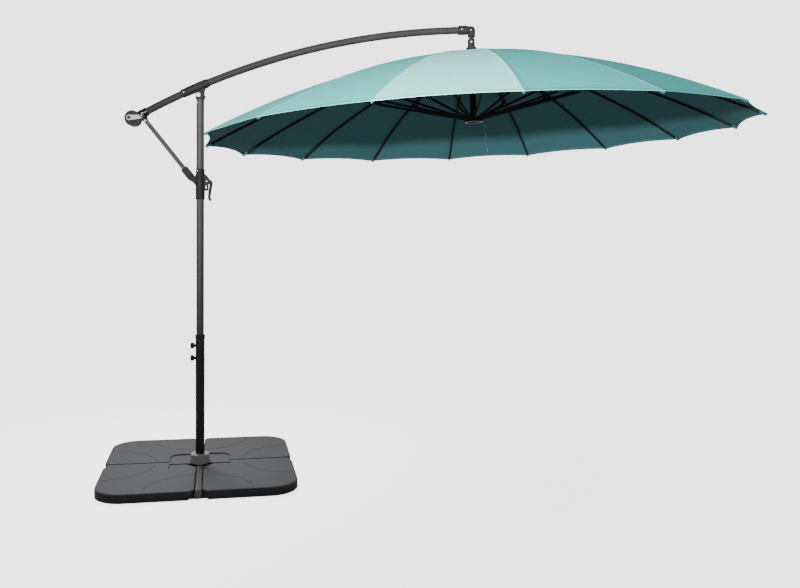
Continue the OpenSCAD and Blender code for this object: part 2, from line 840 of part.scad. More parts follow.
module canopy() {
    points = [for (layer = [0, 1], i = [0 : radial_steps], j = [0 : around - 1])
        cloth_point(i, j, layer * fabric_t)];
    top = [for (i = [0 : radial_steps - 1], j = [0 : around - 1], half = [0, 1])
        half == 0
            ? [cloth_index(0, i, j), cloth_index(0, i + 1, j + 1), cloth_index(0, i + 1, j)]
            : [cloth_index(0, i, j), cloth_index(0, i, j + 1), cloth_index(0, i + 1, j + 1)]];
    under = [for (i = [0 : radial_steps - 1], j = [0 : around - 1], half = [0, 1])
        half == 0
            ? [cloth_index(1, i, j), cloth_index(1, i + 1, j), cloth_index(1, i + 1, j + 1)]
            : [cloth_index(1, i, j), cloth_index(1, i + 1, j + 1), cloth_index(1, i, j + 1)]];
    hem = [for (j = [0 : around - 1], half = [0, 1]) let (i = radial_steps)
        half == 0
            ? [cloth_index(0, i, j), cloth_index(0, i, j + 1), cloth_index(1, i, j)]
            : [cloth_index(0, i, j + 1), cloth_index(1, i, j + 1), cloth_index(1, i, j)]];
    eye = [for (j = [0 : around - 1], half = [0, 1])
        half == 0
            ? [cloth_index(0, 0, j), cloth_index(1, 0, j), cloth_index(0, 0, j + 1)]
            : [cloth_index(0, 0, j + 1), cloth_index(1, 0, j), cloth_index(1, 0, j + 1)]];
    color([0.55, 0.77, 0.75])
        on_canopy()
            polyhedron(points = points, faces = concat(top, under, hem, eye), convexity = 6);
}

// ---------------------------------------------------------------- parts

base_weights();
base_cross();
bar_end_caps();
base_bolts();
foot_collar();
lower_mast();
mast_collar();
lock_knob(knob_z[0]);  // lock_knob_upper
lock_knob(knob_z[1]);  // lock_knob_lower
upper_mast();
mast_head();
slider();
slider_lever();
strut_tube();
strut_socket();
boom_tube();
boom_bracket();
crank_housing();
boom_elbow();
frame_bolts();
crank_arm();
crank_knob();
cord_pulley();
canopy_yoke();
canopy_pole();
crown_hub();
runner();
canopy();
for (k = RIB_NUMBERS) {
    rib(k);
    stretcher(k);
}
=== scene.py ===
import json
import math
import bpy
import bmesh
from mathutils import Matrix, Vector


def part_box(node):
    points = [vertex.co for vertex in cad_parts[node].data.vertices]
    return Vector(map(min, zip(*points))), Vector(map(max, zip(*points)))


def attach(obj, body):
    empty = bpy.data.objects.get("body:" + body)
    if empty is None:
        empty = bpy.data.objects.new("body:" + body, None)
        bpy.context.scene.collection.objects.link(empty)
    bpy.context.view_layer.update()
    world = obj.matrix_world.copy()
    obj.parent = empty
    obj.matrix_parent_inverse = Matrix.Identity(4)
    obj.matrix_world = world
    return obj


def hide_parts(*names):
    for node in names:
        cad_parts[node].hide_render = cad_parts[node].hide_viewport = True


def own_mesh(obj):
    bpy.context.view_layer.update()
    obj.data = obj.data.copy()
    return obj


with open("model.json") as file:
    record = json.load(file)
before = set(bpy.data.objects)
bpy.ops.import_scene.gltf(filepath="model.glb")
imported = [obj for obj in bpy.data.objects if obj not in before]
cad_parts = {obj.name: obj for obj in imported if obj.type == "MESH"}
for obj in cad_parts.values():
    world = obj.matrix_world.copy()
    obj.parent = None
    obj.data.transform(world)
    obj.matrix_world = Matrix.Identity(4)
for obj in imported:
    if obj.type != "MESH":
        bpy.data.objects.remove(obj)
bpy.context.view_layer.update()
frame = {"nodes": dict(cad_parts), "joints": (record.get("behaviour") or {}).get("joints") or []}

# A cantilever parasol: a round canopy of sixteen panels hangs from a curved boom, on a mast in a weighted
# cross base. Lengths are in metres, X runs from the mast towards the canopy, and Z is up.

NODES = frame["nodes"]
JOINTS = {j["name"]: j for j in frame["joints"]}
RIBS = 16


# ------------------------------------------------------------------ camera

CAMERA_AT = (0.968, -4.526, 1.401)
YAW_PITCH_ROLL = (2.0, -4.65, 1.2)
SENSOR = LENS = 36.0


def make_camera():
    yaw, pitch, roll = (math.radians(a) for a in YAW_PITCH_ROLL)
    turn = Matrix.Rotation(roll, 3, "Y") @ Matrix.Rotation(-pitch, 3, "X") @ Matrix.Rotation(yaw, 3, "Z")
    right, ahead, up = turn.row
    data = bpy.data.cameras.new("camera")
    data.sensor_width = SENSOR
    data.lens = LENS
    data.clip_end = 100.0
    cam = bpy.data.objects.new("camera", data)
    bpy.context.scene.collection.objects.link(cam)
    pose = Matrix((right, up, -ahead)).transposed().to_4x4()
    pose.translation = Vector(CAMERA_AT)
    cam.matrix_world = pose
    bpy.context.scene.camera = cam


make_camera()


# ------------------------------------------------------------------ materials

class Nodes:
    """A material under construction, with short calls for the nodes that are used here."""

    def __init__(self, name):
        self.mat = bpy.data.materials.new(name)
        self.mat.use_nodes = True
        self.tree = self.mat.node_tree
        self.tree.nodes.clear()
        self.out = self.tree.nodes.new("ShaderNodeOutputMaterial")
        self.bsdf = self.tree.nodes.new("ShaderNodeBsdfPrincipled")
        self.link(self.bsdf.outputs[0], self.out.inputs["Surface"])

    def link(self, a, b):
        self.tree.links.new(a, b)

    def put(self, socket, value):
        """Feeds a socket: another node's output is linked to it, and a constant is set on it."""
        if isinstance(value, bpy.types.NodeSocket):
            self.link(value, socket)
        else:
            socket.default_value = value

    def set(self, **values):
        """Sets the shader's own sockets, each named with _ for a space."""
        for key, value in values.items():
            self.put(self.bsdf.inputs[key.replace("_", " ")], value)
        return self

    def coords(self, kind="Object"):
        return self.tree.nodes.new("ShaderNodeTexCoord").outputs[kind]

    def scaled(self, vector, scale):
        n = self.tree.nodes.new("ShaderNodeMapping")
        self.link(vector, n.inputs["Vector"])
        n.inputs["Scale"].default_value = scale
        return n.outputs[0]

    def noise(self, vector, scale, detail=2.0, rough=0.5):
        n = self.tree.nodes.new("ShaderNodeTexNoise")
        self.link(vector, n.inputs["Vector"])
        n.inputs["Scale"].default_value = scale
        n.inputs["Detail"].default_value = detail
        n.inputs["Roughness"].default_value = rough
        return n.outputs["Fac"]

    def math(self, kind, a, b=0.0, c=0.0):
        n = self.tree.nodes.new("ShaderNodeMath")
        n.operation = kind
        for socket, value in zip(n.inputs, (a, b, c)):
            self.put(socket, value)
        return n.outputs[0]

    def span(self, value, low, high, to_low=0.0, to_high=1.0):
        n = self.tree.nodes.new("ShaderNodeMapRange")
        ends = (("From Min", low), ("From Max", high), ("To Min", to_low), ("To Max", to_high))
        for key, v in (("Value", value), *ends):
            self.put(n.inputs[key], v)
        return n.outputs[0]

    def mix(self, share, a, b):
        """The colour a where share is 0, and b where it is 1."""
        n = self.tree.nodes.new("ShaderNodeMix")
        n.data_type = "RGBA"
        self.put(n.inputs["Factor"], share)
        for key, v in ((6, a), (7, b)):
            self.put(n.inputs[key], (*v, 1.0) if isinstance(v, tuple) and len(v) == 3 else v)
        return n.outputs[2]

    def bump(self, height, strength, distance, under=None):
        n = self.tree.nodes.new("ShaderNodeBump")
        n.inputs["Strength"].default_value = strength
        n.inputs["Distance"].default_value = distance
        self.link(height, n.inputs["Height"])
        if under is not None:
            self.link(under, n.inputs["Normal"])
        return n.outputs[0]

    def split(self, vector):
        n = self.tree.nodes.new("ShaderNodeSeparateXYZ")
        self.link(vector, n.inputs[0])
        return n.outputs


def shade(colour, factor):
    return tuple(c * factor for c in colour)


def powder_coat(name, colour, rough=0.42, orange_peel=0.35, gloss=0.5):
    """Oven-baked powder: a fine orange peel, faint mottling and a few lighter rubs."""
    m = Nodes(name)
    at = m.coords()
    mottle = m.noise(at, 35.0, 4.0)
    rubs = m.span(m.noise(at, 8.0, 8.0, 0.7), 0.62, 0.78)
    base = m.mix(m.span(mottle, 0.3, 0.7), shade(colour, 0.86), shade(colour, 1.14))
    m.set(Base_Color=m.mix(m.math("MULTIPLY", rubs, 0.25), base, shade(colour, 1.6)),
          Roughness=m.span(mottle, 0.3, 0.7, rough - 0.05, rough + 0.08), Specular_IOR_Level=gloss)
    peel = m.bump(m.noise(at, 650.0, 2.0), orange_peel, 0.0004)
    m.set(Normal=m.bump(mottle, 0.08, 0.0006, peel))
    return m.mat


def plastic(name, colour, rough=0.5, grain=0.5, size=900.0, gloss=0.5):
    """Moulded plastic with a spark-eroded grain."""
    m = Nodes(name)
    at = m.coords()
    clouds = m.noise(at, 14.0, 5.0)
    spots = m.noise(at, size, 3.0, 0.65)
    base = m.mix(m.span(clouds, 0.3, 0.7), shade(colour, 0.88), shade(colour, 1.12))
    m.set(Base_Color=m.mix(m.span(spots, 0.45, 0.75, 0.0, 0.35), base, shade(colour, 1.5)),
          Roughness=m.span(clouds, 0.3, 0.7, rough - 0.06, rough + 0.06), Specular_IOR_Level=gloss)
    m.set(Normal=m.bump(spots, grain, 0.0004))
    return m.mat


def bright_metal(name, colour, rough):
    """Bare metal with fine drawn lines and slightly uneven polish."""
    m = Nodes(name)
    at = m.coords()
    lines = m.noise(at, 900.0, 2.0)
    haze = m.noise(at, 60.0, 4.0)
    m.set(Base_Color=m.mix(m.span(haze, 0.3, 0.7), shade(colour, 0.85), colour), Metallic=1.0,
          Roughness=m.span(haze, 0.3, 0.7, rough, rough + 0.12),
          Normal=m.bump(lines, 0.15, 0.0001))
    return m.mat


# One panel, in front, is painted paler than the rest: a painted highlight, standing in for the light that
# falls on that panel.
CLOTH = {"pale": (0.260, 0.735, 0.660), "mid": (0.088, 0.440, 0.435)}
PAINTED_HIGHLIGHT_GORE = 4
# The underside's colour is a darker copy of the cloth's: painted shade, for the shade under the canopy.
UNDERSIDE_PAINTED_SHADE = (0.036, 0.101, 0.113)


THREAD_PITCH = 0.0016
STITCH_OUT, STITCH_HALF_WIDTH, STITCH_LENGTH, STITCH_SHARE = 0.0042, 0.0006, 0.0045, 0.72


def cloth(name, colour, rough=0.62):
    """Coated polyester: a plain weave, slubs, and two rows of seam stitching along the ribs.
    UV x is the distance from the seam and y the distance from the crown, both in metres."""
    m = Nodes(name)
    uv = m.coords("UV")
    x, y, _ = m.split(uv)
    thread = 2 * math.pi / THREAD_PITCH
    warp = m.math("SINE", m.math("MULTIPLY", x, thread))
    weft = m.math("SINE", m.math("MULTIPLY", y, thread))
    weave = m.math("MULTIPLY", warp, weft)
    slub = m.noise(m.scaled(uv, (220.0, 9.0, 1.0)), 1.0, 3.0)
    slub_across = m.noise(m.scaled(uv, (9.0, 220.0, 1.0)), 1.0, 3.0)
    streaks = m.math("ADD", slub, slub_across)
    clouds = m.noise(uv, 3.2, 4.0)
    base = m.mix(m.span(streaks, 0.75, 1.25), shade(colour, 0.955), shade(colour, 1.045))
    base = m.mix(m.span(clouds, 0.35, 0.65), shade(colour, 0.97), base)
    height = m.math("MULTIPLY", weave, 0.5)
    normal = m.bump(height, 0.22, 0.0003)
    from_row = m.math("ABSOLUTE", m.math("SUBTRACT", m.math("ABSOLUTE", x), STITCH_OUT))
    row = m.math("LESS_THAN", from_row, STITCH_HALF_WIDTH)
    dash = m.math("LESS_THAN", m.math("FRACT", m.math("MULTIPLY", y, 1 / STITCH_LENGTH)), STITCH_SHARE)
    stitch = m.math("MULTIPLY", row, dash)
    base = m.mix(m.math("MULTIPLY", stitch, 0.5), base, shade(colour, 0.62))
    normal = m.bump(stitch, 0.5, 0.0005, normal)
    m.set(Base_Color=base, Roughness=m.span(clouds, 0.35, 0.65, rough - 0.04, rough + 0.05),
          Normal=normal, Specular_IOR_Level=0.02)
    return m.mat


CHARCOAL = powder_coat("charcoal_powder", (0.036, 0.034, 0.032), 0.55, gloss=0.3)
# The boom's paint is the mast's paint in a darker colour: painted shade, with less gloss.
BOOM_PAINTED_SHADE_COAT = powder_coat("boom_powder_painted_shade", (0.021, 0.0215, 0.022), 0.60, gloss=0.09)
DARK_STEEL = powder_coat("dark_steel", (0.011, 0.012, 0.012), 0.46, gloss=0.22)
RIB_BLACK = powder_coat("rib_black", (0.008, 0.008, 0.009), 0.66, gloss=0.10)
BLACK = plastic("black_plastic", (0.0075, 0.0080, 0.0080), 0.68, 0.35, gloss=0.2)
GLOSS_BLACK = plastic("gloss_black", (0.004, 0.004, 0.004), 0.30, 0.08, gloss=0.22)
# The slabs' steep sides get a darker copy of their plastic: painted shade, as the sides face away from the
# light.
SLAB_SIDE_PAINTED_SHADE = plastic("slab_side_painted_shade", (0.020, 0.0205, 0.0225), 0.70, 0.5, 700.0, gloss=0.15)
SLAB = plastic("slab_plastic", (0.062, 0.063, 0.068), 0.66, 0.55, 700.0, gloss=0.3)
GREY = plastic("grey_plastic", (0.24, 0.23, 0.22), 0.5, 0.6, 500.0)
CROSS = powder_coat("cross_steel", (0.045, 0.045, 0.048), 0.45)
ZINC = bright_metal("zinc", (0.78, 0.78, 0.78), 0.25)
CRANK_GREY = bright_metal("crank_grey", (0.20, 0.195, 0.19), 0.36)
STEEL = bright_metal("screw_steel", (0.34, 0.33, 0.32), 0.38)
RIVET = plastic("rivet_alloy", (0.52, 0.49, 0.47), 0.38, 0.05)
BRASS = bright_metal("runner_rim", (0.62, 0.50, 0.42), 0.32)
NYLON = plastic("nylon", (0.70, 0.70, 0.66), 0.45, 0.1)
OUTSIDE = {shade_name: cloth("canopy_" + shade_name, colour) for shade_name, colour in CLOTH.items()}
# The underside cloth, in the painted-shade colour.
INSIDE = cloth("canopy_inside_painted_shade", UNDERSIDE_PAINTED_SHADE, 0.7)

# What each CAD node is made of. The ribs and stretchers aren't listed: they are all RIB_BLACK.
FINISH = {
    "base_cross": CROSS, "bar_end_caps": CROSS, "base_bolts": ZINC, "foot_collar": GREY,
    "lower_mast": DARK_STEEL, "mast_collar": BLACK, "lock_knob_upper": BLACK, "lock_knob_lower": BLACK,
    "upper_mast": CHARCOAL, "mast_head": BLACK, "slider": BLACK, "slider_lever": BLACK,
    "strut_tube": CHARCOAL, "strut_socket": BLACK, "boom_tube": BOOM_PAINTED_SHADE_COAT, "boom_bracket": BLACK,
    "crank_housing": GLOSS_BLACK, "boom_elbow": BLACK, "frame_bolts": STEEL, "crank_arm": CRANK_GREY,
    "crank_knob": GLOSS_BLACK, "cord_pulley": NYLON, "canopy_yoke": BLACK, "canopy_pole": DARK_STEEL,
    "crown_hub": BLACK, "runner": BLACK, "canopy": OUTSIDE["mid"], "base_weights": SLAB,
}


def paint(obj, *mats):
    obj.data.materials.clear()
    for mat in mats:
        obj.data.materials.append(mat)


for name, obj in NODES.items():
    paint(obj, FINISH.get(name, RIB_BLACK))


# ------------------------------------------------------------------ mesh helpers

def new_object(name, verts, faces, smooth=True):
    mesh = bpy.data.meshes.new(name)
    mesh.from_pydata([tuple(v) for v in verts], [], faces)
    mesh.validate()
    if smooth:
        mesh.polygons.foreach_set("use_smooth", [True] * len(mesh.polygons))
    obj = bpy.data.objects.new(name, mesh)
    bpy.context.scene.collection.objects.link(obj)
    return obj


def outward(obj):
    """Turns every face's normal to the outside."""
    bm = bmesh.new()
    bm.from_mesh(obj.data)
    bmesh.ops.recalc_face_normals(bm, faces=bm.faces)
    bm.to_mesh(obj.data)
    bm.free()


def apply_modifiers(obj):
    dg = bpy.context.evaluated_depsgraph_get()
    mesh = bpy.data.meshes.new_from_object(obj.evaluated_get(dg))
    obj.modifiers.clear()
    old = obj.data
    obj.data = mesh
    bpy.data.meshes.remove(old)


def sharpen(obj, degrees=35.0, flat_from=4e-4):
    """Smooth shading that keeps faces larger than flat_from flat, and edges above so many degrees sharp."""
    bm = bmesh.new()
    bm.from_mesh(obj.data)
    limit = math.radians(degrees)
    for f in bm.faces:
        f.smooth = f.calc_area() < flat_from
    for e in bm.edges:
        e.smooth = not (len(e.link_faces) == 2 and e.calc_face_angle(0.0) > limit)
    bm.to_mesh(obj.data)
    bm.free()


# ------------------------------------------------------------------ canopy

# The canopy's frame comes from the ribs' pivots: they lie on a circle round its axis
PIVOTS = [Vector(JOINTS["rib_%02d_fold" % k]["pos_m"]) for k in range(1, RIBS + 1)]
HUB = sum(PIVOTS, Vector()) / RIBS
AXIS = (PIVOTS[0] - HUB).cross(PIVOTS[4] - HUB).normalized()
if AXIS.z < 0:
    AXIS = -AXIS
# How far the pivots are above the plane of the rib tips, where the canopy's own heights start
PIN_Z = 0.445
CENTRE = HUB - PIN_Z * AXIS
CANOPY_R, RISE, BULGE, CROWN_R, HOLE_R, HEM_DIP = 1.5, 0.46, 0.067, 0.03, 0.024, 0.027
# The cloth's outline over a rib is an arc, in the plane of the canopy's axis
CHORD = math.hypot(CANOPY_R - CROWN_R, RISE)
DOME_R = ((CHORD / 2) ** 2 + BULGE ** 2) / (2 * BULGE)
DOME_X = (CANOPY_R + CROWN_R) / 2 - RISE / CHORD * (DOME_R - BULGE)
DOME_Z = RISE / 2 - (CANOPY_R - CROWN_R) / CHORD * (DOME_R - BULGE)
HALF = math.pi / RIBS


def dome(r):
    """The cloth's height over a rib at radius r."""
    return DOME_Z + math.sqrt(DOME_R ** 2 - (r - DOME_X) ** 2)


def spoke(k):
    """The rib's own directions: outwards along it, and sideways."""
    out = (PIVOTS[k - 1] - HUB).normalized()
    return out, AXIS.cross(out)


def place(k, x, y, z):
    """The point x out along rib k, y sideways and z up the canopy's axis."""
    out, side = spoke(k)
    return CENTRE + x * out + y * side + z * AXIS


# The seam over a rib stands proud of the cloth: distances from its middle, with the lift at each
SEAM = [0.0, 0.0030, 0.0052, 0.0060]
OUT_LIFT = [0.0004, 0.0004, 0.0003, 0.0]
# Shares of the way from the seam to the middle of the gore, with a hair's gap to the next panel
ACROSS = [i / 12.0 for i in range(1, 12)] + [0.9996]
ROWS = 56
CLOTH_THICK, CLOTH_SAG = 0.0013, 0.0035
HEM, HEM_STEP, HEM_OUT, HEM_IN = 0.016, 0.0008, 0.0003, 0.0010


def columns(r):
    """Shares of the half gore at radius r, dense over the seam, with each one's lift over the cloth."""
    reach = r * math.sin(HALF)
    shrink = min(1.0, reach * 0.55 / SEAM[-1])
    seam = [s * shrink / reach for s in SEAM]
    cols = [(f, lift) for f, lift in zip(seam, OUT_LIFT)]
    cols += [(seam[-1] + (1 - seam[-1]) * a, 0.0) for a in ACROSS]
    return cols


def gore_shade(k):
    """The cloth colour of the panel between rib k and the next: the paler colour on the front panel is a
    painted highlight.
    """
    gore = (k - 1) % RIBS + 1
    return "pale" if gore == PAINTED_HIGHLIGHT_GORE else "mid"


def petal_rows(k, layer, radial):
    """The outer (0) or inner (1) skin's points, row by row from the crown to the hem, with their UVs."""
    inner = HOLE_R + 0.001
    verts, uvs = [], []
    for row, t in enumerate(radial):
        cols = columns(inner + (CANOPY_R - inner) * t)
        in_hem = row >= len(radial) - 2
        for share, lift in [(-f, lift) for f, lift in reversed(cols[1:])] + cols:
            f = abs(share)
            rim = CANOPY_R * (1 - 4 * (f / 2) * (1 - f / 2) * HEM_DIP / CANOPY_R)
            r = inner + (rim - inner) * t
            along = f * r * math.sin(HALF)
            x = r - along * math.sin(HALF)
            y = math.copysign(along * math.cos(HALF), share)
            z = dome(r) - CLOTH_SAG * (r / CANOPY_R) ** 1.5 * (1 - (1 - f) ** 2)
            if layer == 0:
                z += lift + (HEM_OUT if in_hem else 0.0)
            else:
                z += -(CLOTH_THICK + (HEM_IN if in_hem else 0.0))
            verts.append(place(k, x, y, z))
            uvs.append((math.copysign(along, share), r))
    return verts, uvs


def petal(k):
    """The cloth from the middle of one gore, over a rib, to the middle of the next."""
    radial = [i / ROWS for i in range(ROWS)] + [1 - HEM / CANOPY_R, 1 - (HEM - HEM_STEP) / CANOPY_R, 1.0]
    outer, outer_uvs = petal_rows(k, 0, radial)
    lining, lining_uvs = petal_rows(k, 1, radial)
    verts, uvs = outer + lining, outer_uvs + lining_uvs
    n, low = len(radial), len(outer)
    per_row = low // n
    faces = []
    for first in (0, low):
        for i in range(n - 1):
            for j in range(per_row - 1):
                a = first + i * per_row + j
                quad = [a, a + per_row, a + per_row + 1, a + 1]
                faces.append(quad if first == 0 else quad[::-1])
    edge_from = len(faces)
    inside_from = edge_from // 2
    for i in range(n - 1):
        a, b = i * per_row, (i + 1) * per_row
        faces.append([a, low + a, low + b, b])
        a, b = a + per_row - 1, b + per_row - 1
        faces.append([a, b, low + b, low + a])
    for j in range(per_row - 1):
        faces.append([j, j + 1, low + j + 1, low + j])
        a = (n - 1) * per_row + j
        faces.append([a, low + a, low + a + 1, a + 1])
    obj = new_object("canopy_panel_%02d" % k, verts, faces)
    lay_uvs(obj, uvs)
    paint(obj, OUTSIDE[gore_shade(k - 1)], OUTSIDE[gore_shade(k)], INSIDE)
    for poly in obj.data.polygons:
        before_rib = uvs[poly.vertices[0]][0] + uvs[poly.vertices[2]][0] < 0
        poly.material_index = 2 if inside_from <= poly.index < edge_from else (0 if before_rib else 1)
        if poly.index >= edge_from:
            poly.use_smooth = False
    mark_creases(obj, 40)
    return obj


def lay_uvs(obj, uvs):
    """Gives each vertex its place on the flat cloth, in metres."""
    layer = obj.data.uv_layers.new(name="metres")
    for loop in obj.data.loops:
        layer.data[loop.index].uv = uvs[loop.vertex_index]


def mark_creases(obj, degrees):
    """Marks the edges that turn by more than so many degrees as sharp: the cloth's cut edges."""
    bm = bmesh.new()
    bm.from_mesh(obj.data)
    for e in bm.edges:
        if len(e.link_faces) == 2 and e.calc_face_angle(0.0) > math.radians(degrees):
            e.smooth = False
    bm.to_mesh(obj.data)
    bm.free()


def tip_pocket(k):
    """The small sewn pocket in which a rib's end sits."""
    start, stop, half_w, depth, rise = 1.462, 1.4975, 0.0060, 0.0160, 0.0012
    rows, verts, uvs = 8, [], []
    # A U under the rib: straight sides, then a round bottom
    ring = [(-half_w, -rise), (-half_w, -depth * 0.6)]
    ring += [(-half_w * math.cos(math.pi * i / 8), -depth * 0.6 - depth * 0.4 * math.sin(math.pi * i / 8))
             for i in range(1, 8)]
    ring += [(half_w, -depth * 0.6), (half_w, -rise)]
    for i in range(rows + 1):
        r = start + (stop - start) * i / rows
        close = 1.0 if i < rows - 1 else (0.90 if i == rows - 1 else 0.62)
        for y, drop in ring:
            verts.append(place(k, r, y * close, dome(r) + (drop * close if drop < -rise else drop)))
            uvs.append((y + 0.1, r))
    w = len(ring)
    faces = [[i * w + j, i * w + j + 1, (i + 1) * w + j + 1, (i + 1) * w + j]
             for i in range(rows) for j in range(w - 1)]
    faces.append([rows * w + j for j in range(w)])
    obj = new_object("tip_pocket_%02d" % k, verts, faces)
    lay_uvs(obj, uvs)
    thick = obj.modifiers.new("cloth", "SOLIDIFY")
    thick.thickness = 0.0009
    thick.offset = 0.0
    apply_modifiers(obj)
    outward(obj)
    # The pockets take the underside's painted-shade colour, so they stay dark under the ribs.
    paint(obj, INSIDE)
    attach(obj, "rib_%02d" % k)
    return obj


for k in range(1, RIBS + 1):
    panel = petal(k)
    body = "rib_%02d" % k
    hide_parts("canopy")
    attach(panel, body)
    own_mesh(panel)
    tip_pocket(k)


# ------------------------------------------------------------------ base weights

# Each slab fills one quarter of the cross: it starts at the gap and ends at FAR, both from the mast's axis
YAW = math.radians(11)
GAP, SIDE, THICK = 0.020, 0.500, 0.050
FAR = GAP + SIDE


def arc(cx, cy, r, a0, a1, steps):
    """Points on an arc round (cx, cy), from angle a0 to a1 in degrees."""
    return [(cx + r * math.cos(math.radians(a0 + (a1 - a0) * i / steps)),
             cy + r * math.sin(math.radians(a0 + (a1 - a0) * i / steps))) for i in range(steps + 1)]


def slab_outline():
    """A square with one large outer corner, two small ones, and the mast's corner cut off."""
    big, small, cut = 0.150, 0.040, 0.100
    pts = [(cut - GAP, GAP)]
    pts += arc(FAR - small, GAP + small, small, -90, 0, 8)
    pts += arc(FAR - big, FAR - big, big, 0, 90, 28)
    pts += arc(GAP + small, FAR - small, small, 90, 180, 8)
    pts += [(GAP, cut - GAP)]
    return pts


def inset(points, by):
    """The outline moved inwards, each point along the mean of its two edges' normals."""
    n = len(points)
    out = []
    for i in range(n):
        p, a, b = Vector(points[i]), Vector(points[i - 1]), Vector(points[(i + 1) % n])
        e0, e1 = (p - a).normalized(), (b - p).normalized()
        n0, n1 = Vector((-e0.y, e0.x)), Vector((-e1.y, e1.x))
        m = (n0 + n1).normalized()
        out.append(tuple(p + m * by / max(0.3, m.dot(n0))))
    return out


def prism(name, rings):
    """A closed solid through rings of [x, y] points at their heights."""
    n = len(rings[0][0])
    verts = [(x, y, z) for pts, z in rings for x, y in pts]
    faces = [[i * n + j, i * n + (j + 1) % n, (i + 1) * n + (j + 1) % n, (i + 1) * n + j]
             for i in range(len(rings) - 1) for j in range(n)]
    faces.append(list(range(n))[::-1])
    faces.append([(len(rings) - 1) * n + j for j in range(n)])
    return new_object(name, verts, faces, smooth=False)


def cutter_ring(name, cx, cy, radius, r, z, a0, a1, steps=60, sides=8):
    """A bent round bar, for cutting a curved groove."""
    verts, faces = [], []
    for i in range(steps + 1):
        a = math.radians(a0 + (a1 - a0) * i / steps)
        for s in range(sides):
            t = 2 * math.pi * (s + 0.5) / sides
            q = radius + r * math.cos(t)
            verts.append((cx + q * math.cos(a), cy + q * math.sin(a), z + r * math.sin(t)))
    for i in range(steps):
        for s in range(sides):
            faces.append([i * sides + s, (i + 1) * sides + s, (i + 1) * sides + (s + 1) % sides,
                          i * sides + (s + 1) % sides])
    faces.append(list(range(sides)))
    faces.append([steps * sides + s for s in range(sides)][::-1])
    return new_object(name, verts, faces, smooth=False)


def carve(obj, cutters):
    """Cuts the cutters out of obj, and removes them."""
    for c in cutters:
        outward(c)
        mod = obj.modifiers.new("cut", "BOOLEAN")
        mod.operation = "DIFFERENCE"
        mod.solver = "EXACT"
        mod.object = c
    apply_modifiers(obj)
    for c in cutters:
        bpy.data.objects.remove(c)


def base_weight(name, turn):
    """A moulded slab: a rounded top edge, a recess by the mast, two arc grooves, and rebates that clear the
    cross's bottom flanges."""
    outline = slab_outline()
    edge_r, foot_bevel = 0.007, 0.002
    rings = [(inset(outline, foot_bevel), 0.0), (outline, foot_bevel)]
    for i in range(6):
        a = math.pi / 2 * i / 5
        rings.append((inset(outline, edge_r * (1 - math.cos(a))), THICK - edge_r + edge_r * math.sin(a)))
    obj = prism(name, rings)
    outward(obj)
    half, rad, depth, past = 0.170, 0.060, 0.008, -0.02
    lip = [(past, past), (half, past)] + arc(half - rad, half - rad, rad, 0, 90, 16) + [(past, half)]
    recess = prism("recess", [(inset(lip, 0.003), THICK - depth), (inset(lip, -0.001), THICK + 0.004)])
    rebate, rebate_top, spare = 0.047, 0.0065, 0.01
    foot = []
    for w, h in ((rebate, FAR + spare), (FAR + spare, rebate)):
        box = [(-spare, -spare), (w, -spare), (w, h), (-spare, h)]
        foot.append(prism("rebate", [(box, -spare), (box, rebate_top)]))
    bend_r, groove_r, groove_z = 0.280, 0.0022, THICK + 0.0003
    grooves = [cutter_ring("groove", FAR, 0.0, bend_r, groove_r, groove_z, 92, 178),
               cutter_ring("groove", 0.0, FAR, bend_r, groove_r, groove_z, -88, -2)]
    carve(obj, [recess, *foot, *grooves])
    bevel = obj.modifiers.new("soft_edges", "BEVEL")
    bevel.limit_method = "ANGLE"
    bevel.angle_limit = math.radians(38)
    bevel.width = 0.0009
    bevel.segments = 2
    apply_modifiers(obj)
    obj.data.transform(Matrix.Rotation(YAW + turn, 4, "Z"))
    sharpen(obj, 32)
    # Steep faces take the painted-shade copy, flat faces the plain plastic.
    paint(obj, SLAB, SLAB_SIDE_PAINTED_SHADE)
    steep = 0.3
    for face in obj.data.polygons:
        face.material_index = 1 if abs(face.normal.z) < steep else 0
    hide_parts("base_weights")
    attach(obj, "base")
    return obj


for i in range(4):
    base_weight("weight_%d" % (i + 1), math.pi / 2 * i)


# ------------------------------------------------------------------ fasteners and small fittings

def lathe(name, profile, at, axis, steps=32):
    """Turns a profile of (radius, height) points round an axis through the point at."""
    z = Vector(axis).normalized()
    x = z.orthogonal().normalized()
    y = z.cross(x)
    verts, faces = [], []
    for radius, height in profile:
        for i in range(steps):
            a = 2 * math.pi * i / steps
            verts.append(Vector(at) + z * height + (x * math.cos(a) + y * math.sin(a)) * max(radius, 1e-5))
    rows = len(profile)
    for r in range(rows - 1):
        for i in range(steps):
            j = (i + 1) % steps
            faces.append([r * steps + i, r * steps + j, (r + 1) * steps + j, (r + 1) * steps + i])
    faces.append(list(range(steps))[::-1])
    faces.append([(rows - 1) * steps + i for i in range(steps)])
    obj = new_object(name, verts, faces)
    outward(obj)
    return obj


def dome_profile(r, height, lip=0.3):
    """A pan head: a short straight side under a shallow dome."""
    side = height * lip
    rise = height - side
    return [(r, 0.0), (r, side)] + [(r * math.cos(math.radians(a)), side + rise * math.sin(math.radians(a)))
                                    for a in (18, 36, 54, 72, 84)]


